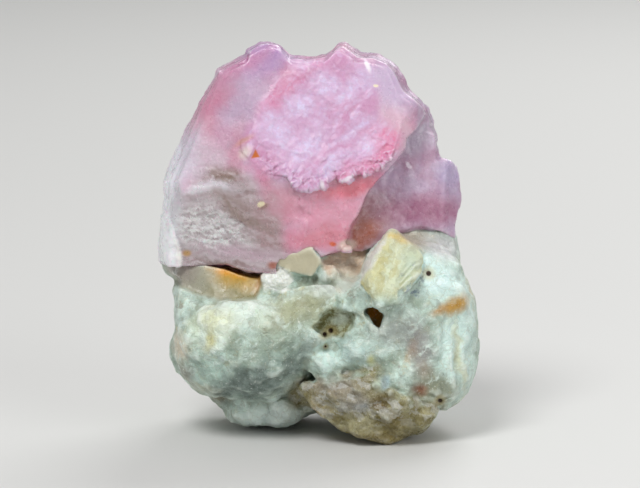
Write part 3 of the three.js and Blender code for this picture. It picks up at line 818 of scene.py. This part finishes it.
def paint_matrix():
    paint = Paint("feldspar_matrix")
    shader = paint.shader
    drift = paint.warped(4, 2)
    foot, high = paint.kept("foot"), paint.kept("relief")
    grain_tone = paint.split(paint.cells(1.5, "F1", "Color", drift))[0]
    pale = paint.ramp(paint.noise(5, 5, 0.62), 0.38, 0.6)
    base = paint.mix(pale, tint(158, 176, 160), tint(206, 226, 216))
    base = paint.mix(paint.ramp(paint.noise(2.6, 5, 0.65), 0.55, 0.72), base, tint(200, 200, 166))
    base = paint.mix(paint.ramp(paint.noise(3.4, 5, 0.7, drift), 0.6, 0.7), base, tint(156, 154, 142))
    base = paint.spots(base, drift, [
        ((228, 242, 228), (-16, -15, 27), (7.4, 9, 2.8), 8, 0.6, 1.0),
        ((220, 228, 192), (-21, -15, 24.4), (4, 8, 3), 0, 0.7, 0.7),
        ((206, 202, 132), (-21.6, -15, 21.6), (1.2, 6, 2), -20, 0.7, 0.8),
        ((192, 220, 208), (-21, -15, 15.6), (5, 8, 3.4), 0, 0.7, 0.7),
        ((176, 178, 142), (-4.4, -14, 27.6), (8, 8, 3.4), 30, 0.6, 0.85),
        ((158, 176, 158), (-9, -15, 21.6), (7, 8, 2.4), 30, 0.7, 0.75),
        ((134, 154, 144), (-10, -15, 16.6), (8, 8, 2.4), 30, 0.7, 0.7),
        ((218, 208, 186), (-28, -10, 20.4), (2.4, 8, 3), 0, 0.6, 0.9),
        ((142, 138, 126), (-27, -10, 15), (1.8, 8, 1.6), 0, 0.5, 0.7),
        ((196, 198, 174), (-22, -8, 12), (4, 8, 1.2), -14, 0.6, 0.7),
        ((136, 124, 104), (-19.6, -4, 10.4), (1.8, 8, 1.6), -40, 0.6, 0.8),
        # Partly painted light: the pale underlobe is painted lighter still, to lift it out of the shade
        # under the boulder.
        ((222, 236, 230), (-9.6, -4, 6.4), (9, 9, 3), 10, 0.6, 0.95),
        ((230, 254, 250), (23, -11, 34), (6, 9, 3.6), -40, 0.6, 1.0),
        ((212, 234, 228), (28, -9, 27), (3, 9, 6), 10, 0.6, 0.8),
        ((152, 156, 150), (15.4, -14, 23.6), (5, 8, 3), 0, 0.7, 0.8),
        ((190, 214, 208), (6, -14, 19.6), (5, 8, 3), 0, 0.6, 0.9),
        ((212, 236, 228), (1.4, -14, 18), (3, 8, 2.6), 0, 0.6, 0.9),
        ((156, 152, 150), (19.6, -14, 20), (2.2, 8, 5.4), 6, 0.7, 0.8),
        ((222, 246, 240), (26, -9, 18), (3.6, 9, 8), 8, 0.7, 0.9),
        ((208, 196, 140), (27.6, -9, 18.6), (0.6, 8, 6), 8, 0.9, 0.6),
        ((130, 134, 110), (22, -13, 12.2), (5, 8, 3), 0, 0.6, 0.9),
        ((214, 224, 218), (2.4, -13, 33), (4, 8, 2.4), 20, 0.6, 0.8),
    ])
    rear = paint.ramp(paint.back, -5, 3)
    cream = paint.ramp(paint.noise(13, 5, 0.55, drift), 0.46, 0.62)
    base = paint.mix(paint.math("MULTIPLY", rear, cream), base, tint(216, 220, 196))
    ashen = paint.ramp(paint.noise(12, 5, 0.6), 0.52, 0.64)
    base = paint.mix(paint.math("MULTIPLY", rear, ashen), base, tint(190, 188, 174))
    stain = paint.math("MULTIPLY", paint.ramp(paint.noise(5.4, 5, 0.6), 0.64, 0.76), 0.7)
    base = paint.mix(paint.math("MULTIPLY", rear, stain), base, tint(204, 164, 106))
    # The bright step is partly its own white-yellow tone and partly painted light, lighter where it faces
    # up towards the lamp.
    bright = paint.spots(tint(234, 248, 236), drift, [
        ((226, 228, 188), (-20.6, -15, 26), (3, 9, 2.4), 0, 0.8, 0.8),
        ((214, 206, 130), (-21.6, -15, 22), (1, 6, 2.2), -20, 0.8, 0.8),
    ])
    base = paint.mix(paint.math("MULTIPLY", paint.kept("step"), 0.85), base, bright)
    veins = paint.ramp(paint.noise(1.5, 5, 0.65, paint.streaked(drift, 40, 3)), 0.54, 0.66)
    base = paint.mix(paint.math("MULTIPLY", veins, 0.6), base, tint(222, 238, 230))
    threads = paint.ramp(paint.cells(2.6, "DISTANCE_TO_EDGE", "Distance", drift), 0.05, 0.0)
    base = paint.mix(paint.math("MULTIPLY", threads, 0.25), base, tint(160, 152, 116))

    mottled = paint.ramp(paint.noise(1.6, 4, 0.6), 0.35, 0.65)
    dark_side = paint.mix(mottled, tint(104, 120, 112), tint(140, 156, 148))
    base = paint.mix(paint.kept("shaded"), base, dark_side)
    base = paint.mix(paint.kept("tuft"), base, tint(240, 244, 236))
    band = paint.spots(tint(184, 182, 162), drift, [
        ((164, 152, 146), (-29, -12, 36), (4.4, 9, 3), 0, 0.6, 0.9),
        ((224, 226, 222), (-28.4, -12, 35), (0.5, 8, 0.9), 0, 0.7, 0.8),
        ((178, 170, 138), (-16, -12, 32), (4.6, 9, 3), 0, 0.7, 0.9),
        ((162, 154, 110), (-16, -12, 31), (5.4, 9, 1.6), -4, 0.7, 0.9),
        ((206, 164, 52), (-16, -12, 34.2), (4.4, 9, 2), -6, 0.8, 0.9),
        # Partly painted light: the orange stain is painted brighter than its own tone, to lift the shade
        # under the crystal's overhang.
        ((250, 172, 4), (-17.2, -12, 35.8), (3.6, 9, 1.4), -6, 0.8, 0.95),
        ((194, 136, 66), (-12.2, -12, 34), (0.8, 9, 2.2), -6, 0.8, 0.7),
    ])
    base = paint.mix(paint.kept("band"), base, band)
    # The hollow's brown quartz is partly its own tone and partly painted light: it is painted lighter, for
    # light shining through it from behind.
    brown = paint.mix(paint.ramp(paint.noise(3), 0.4, 0.6), tint(212, 190, 164), tint(228, 214, 194))
    brown = paint.spots(brown, drift, [((204, 216, 204), (4, -12, 33), (5, 9, 1.8), 0, 0.8, 0.9)])
    base = paint.mix(paint.kept("hollow"), base, brown)
    base = paint.mix(paint.kept("wedge"), base, tint(184, 178, 152))
    mottle = paint.ramp(paint.noise(1.4, 4, 0.6, paint.streaked(drift, 62, 3)), 0.42, 0.62)
    block = paint.mix(mottle, tint(206, 204, 156), tint(220, 226, 196))
    block = paint.spots(block, drift, [
        ((232, 206, 110), (15.8, -14, 41.6), (2.6, 6, 0.9), -16, 0.7, 0.9),
        ((214, 206, 142), (10.4, -14, 35), (1.4, 6, 4), -24, 0.7, 0.7),
        ((206, 224, 206), (17.6, -14, 36), (2, 6, 4), -20, 0.7, 0.8),
    ])
    base = paint.mix(paint.kept("block"), base, block)
    base = paint.mix(paint.kept("side"), base, tint(220, 222, 212))
    base = paint.mix(paint.math("MULTIPLY", paint.kept("grooves"), veins), base, tint(120, 140, 148))

    # The cave is mottled dark olive and pale grey-green.
    cave_patches = paint.ramp(paint.noise(1.6, 4, 0.7), 0.42, 0.58)
    cave = paint.mix(cave_patches, tint(128, 124, 74), tint(186, 192, 164))
    cave = paint.spots(cave, drift, [((204, 214, 200), (4, -12, 25.8), (1.6, 7, 1.2), 10, 0.7, 0.9)])
    base = paint.mix(paint.kept("cave"), base, cave)
    base = paint.spots(base, paint.warped(2.4, 0.8), [
        ((184, 174, 158), (17.6, -8, 41.6), (5, 7, 2.6), 0, 0.6, 0.9),
        ((206, 204, 206), (25, -8, 40.4), (4, 7, 2.6), -14, 0.6, 0.8),
        ((204, 152, 40), (26.6, -11, 28.8), (3, 8, 1.5), 24, 0.7, 0.95),
        ((200, 150, 80), (23.4, -11, 27.6), (2, 8, 0.8), 26, 0.8, 0.8),
        # Partly painted light: the pit's golden brown is painted lighter, to lift the shade inside its
        # hole.
        ((204, 132, 6), (11, -8, 26.4), (2, 4.4, 3.2), 10, 0.3, 1.0),
        ((146, 92, 62), (19.6, -14, 12.2), (1.3, 6, 1.1), 0, 0.9, 0.9),
        ((172, 134, 104), (17.8, -14, 19.4), (1, 6, 2), -20, 0.9, 0.5),
        ((170, 150, 130), (20.4, -14, 16), (1.6, 6, 1.6), 0, 0.9, 0.5),
        ((170, 200, 214), (12.8, -14, 13), (0.8, 8, 2), 0, 0.8, 0.8),
        ((116, 110, 60), (-4, -8, 11), (2.6, 9, 2.4), -30, 0.6, 0.8),
        ((196, 196, 132), (10.2, -14, 18.2), (0.8, 8, 0.8), 0, 0.8, 0.8),
    ])
    smoke = paint.ramp(paint.noise(2.2, 5, 0.7, paint.streaked(drift, -25, 2)), 0.42, 0.6)
    foot_tone = paint.mix(smoke, tint(138, 128, 76), tint(186, 180, 140))
    foot_tone = paint.spots(foot_tone, drift, [
        ((170, 160, 142), (3, -14, 13), (6, 8, 2.6), -12, 0.7, 0.9),
        ((192, 188, 178), (7, -14, 9.4), (3, 8, 1.8), 0, 0.8, 0.8),
        ((158, 166, 170), (8, -14, 8.8), (1.2, 8, 0.8), 0, 0.8, 0.7),
        ((112, 88, 16), (12, -14, 9.6), (2, 8, 1.4), 0, 0.7, 0.9),
        ((126, 110, 42), (14, -14, 5.8), (2.6, 8, 1.8), 0, 0.7, 0.9),
        ((160, 142, 84), (10, -12, 2), (8, 8, 2), 0, 0.7, 0.7),
        ((172, 154, 112), (-1, -12, 7), (3, 8, 3), -40, 0.7, 0.7),
    ])
    shards = paint.split(paint.cells(1, "F1", "Color", paint.streaked(paint.warped(1.6, 0.9), -20, 2.2)))[1]
    shards = paint.math("MULTIPLY", paint.ramp(shards, 0.5, 0.95), paint.ramp(paint.up, 4, 9, 0.15, 0.7))
    foot_tone = paint.mix(shards, foot_tone, tint(220, 220, 212))
    frost = paint.ramp(paint.noise(0.9, 5, 0.75), 0.58, 0.68)
    frost = paint.math("MULTIPLY", frost, paint.ramp(paint.up, 3, 8, 0.3, 0.9))
    foot_tone = paint.mix(frost, foot_tone, tint(228, 226, 228))
    base = paint.mix(foot, base, foot_tone)
    still = paint.math("MAXIMUM", paint.kept("band"), paint.kept("wedge"))
    grainy = paint.math("MULTIPLY_ADD", still, -0.8, 1.0)
    base = paint.mix(grainy, base, paint.mix(
        1.0, base, paint.math("MULTIPLY_ADD", grain_tone, 0.2, 0.88), "MULTIPLY"))
    # Painted highlight and shade: raised places are painted paler and hollows darker yellow-brown, by how
    # far each stands out.
    base = paint.mix(paint.ramp(high, 0.04, 0.3, 0, 0.45), base, tint(236, 246, 238))
    base = paint.mix(paint.ramp(high, -0.05, -0.4, 0, 0.45), base, tint(150, 146, 112))
    specks = paint.ramp(paint.noise(0.6, 4, 0.75), 0.64, 0.74)
    calm = paint.math("MULTIPLY", paint.math("MULTIPLY_ADD", foot, -0.4, 0.5), grainy)
    base = paint.mix(paint.math("MULTIPLY", specks, calm), base, tint(130, 122, 96))
    glints = paint.ramp(paint.noise(0.45, 3, 0.7), 0.6, 0.7)
    base = paint.mix(paint.math("MULTIPLY", glints, calm), base, tint(252, 254, 250))
    for middle_right, middle_up, radius in HOLES:
        middle = (middle_right, -14, middle_up)
        around = radius * 2.6
        halo = paint.spot(paint.place, middle, (around, 8, around), 0, 0.5)
        base = paint.mix(paint.math("MULTIPLY", halo, 0.5), base, tint(190, 170, 110))
        hole = paint.spot(paint.place, middle, (radius, 8, radius), 0, 0.25)
        base = paint.mix(hole, base, tint(56, 30, 6))
    paint.feed(shader.inputs["Base Color"], base)

    glassy = paint.math("MAXIMUM", foot, paint.kept("band"))
    roughness = paint.ramp(paint.noise(1.8, 4, 0.6), 0.3, 0.7, 0.42, 0.7)
    roughness = paint.math("SUBTRACT", roughness, paint.math("MULTIPLY", glassy, 0.26))
    paint.feed(shader.inputs["Roughness"], roughness)
    paint.feed(shader.inputs["Transmission Weight"], paint.math("MULTIPLY", glassy, 0.22))
    shader.inputs["IOR"].default_value = 1.53
    shader.inputs["Subsurface Weight"].default_value = 0.55
    shader.inputs["Subsurface Radius"].default_value = (1.0, 0.95, 0.85)
    shader.inputs["Subsurface Scale"].default_value = 0.0012
    shader.inputs["Coat Weight"].default_value = 0.1
    shader.inputs["Coat Roughness"].default_value = 0.3
    paint.bump(
        (paint.math("MULTIPLY", paint.noise(1.6, 6, 0.7), grainy), 0.36),
        (paint.math("MULTIPLY", paint.cells(0.9, "F1", "Distance", drift), grainy), 0.2),
        (paint.math("MULTIPLY", paint.noise(0.4, 3, 0.7), grainy), 0.14))
    return paint.material


def lay_floor():
    mesh = bpy.data.meshes.new("floor")
    signs = [(-1, -1), (1, -1), (1, 1), (-1, 1)]
    corners = [(x * FLOOR_REACH_M, y * FLOOR_REACH_M, 0) for x, y in signs]
    mesh.from_pydata(corners, [], [(0, 1, 2, 3)])
    floor = bpy.data.objects.new("floor", mesh)
    bpy.context.scene.collection.objects.link(floor)
    material = bpy.data.materials.new("floor")
    material.use_nodes = True
    shader = material.node_tree.nodes["Principled BSDF"]
    shader.inputs["Base Color"].default_value = tint(208, 208, 206)
    shader.inputs["Roughness"].default_value = 0.6
    mesh.materials.append(material)


def lamp(name, place, size, watts, aim):
    light = bpy.data.lights.new(name, "AREA")
    light.shape = "DISK"
    light.size = size
    light.energy = watts
    holder = bpy.data.objects.new(name, light)
    bpy.context.scene.collection.objects.link(holder)
    holder.location = place
    holder.rotation_euler = (Vector(aim) - Vector(place)).to_track_quat("-Z", "Y").to_euler()


def light_studio():
    aim = (0, 0, 0.04)
    lamp("key", (-0.27, -0.5, 0.8), 0.4, 5.8, aim)
    lamp("fill", (0.7, -0.6, 0.35), 0.6, 2.6, aim)
    lamp("rim", (0.3, 0.6, 0.6), 0.6, 3.6, aim)
    world = bpy.data.worlds.new("studio")
    world.use_nodes = True
    world.node_tree.nodes["Background"].inputs["Color"].default_value = (1, 1, 1, 1)
    world.node_tree.nodes["Background"].inputs["Strength"].default_value = SKY_STRENGTH
    bpy.context.scene.world = world
    bpy.context.scene.view_settings.view_transform = "Standard"


def set_camera():
    data = bpy.data.cameras.new("camera")
    data.sensor_width = SENSOR_MM
    data.lens = SENSOR_MM * CAMERA_DISTANCE_MM / VIEW_WIDTH_MM
    data.clip_end = CAMERA_REACH_M
    camera = bpy.data.objects.new("camera", data)
    bpy.context.scene.collection.objects.link(camera)
    camera.location = on_row(0, -CAMERA_DISTANCE_MM, FACE_MIDDLE_UP)
    target = on_row(0, 0, FACE_MIDDLE_UP)
    camera.rotation_euler = (target - camera.location).to_track_quat("-Z", "Y").to_euler()
    bpy.context.scene.camera = camera


set_camera()
light_studio()
lay_floor()
crystal = model_crystal()
crystal.data.materials.append(paint_crystal())
matrix = model_matrix()
matrix.data.materials.append(paint_matrix())
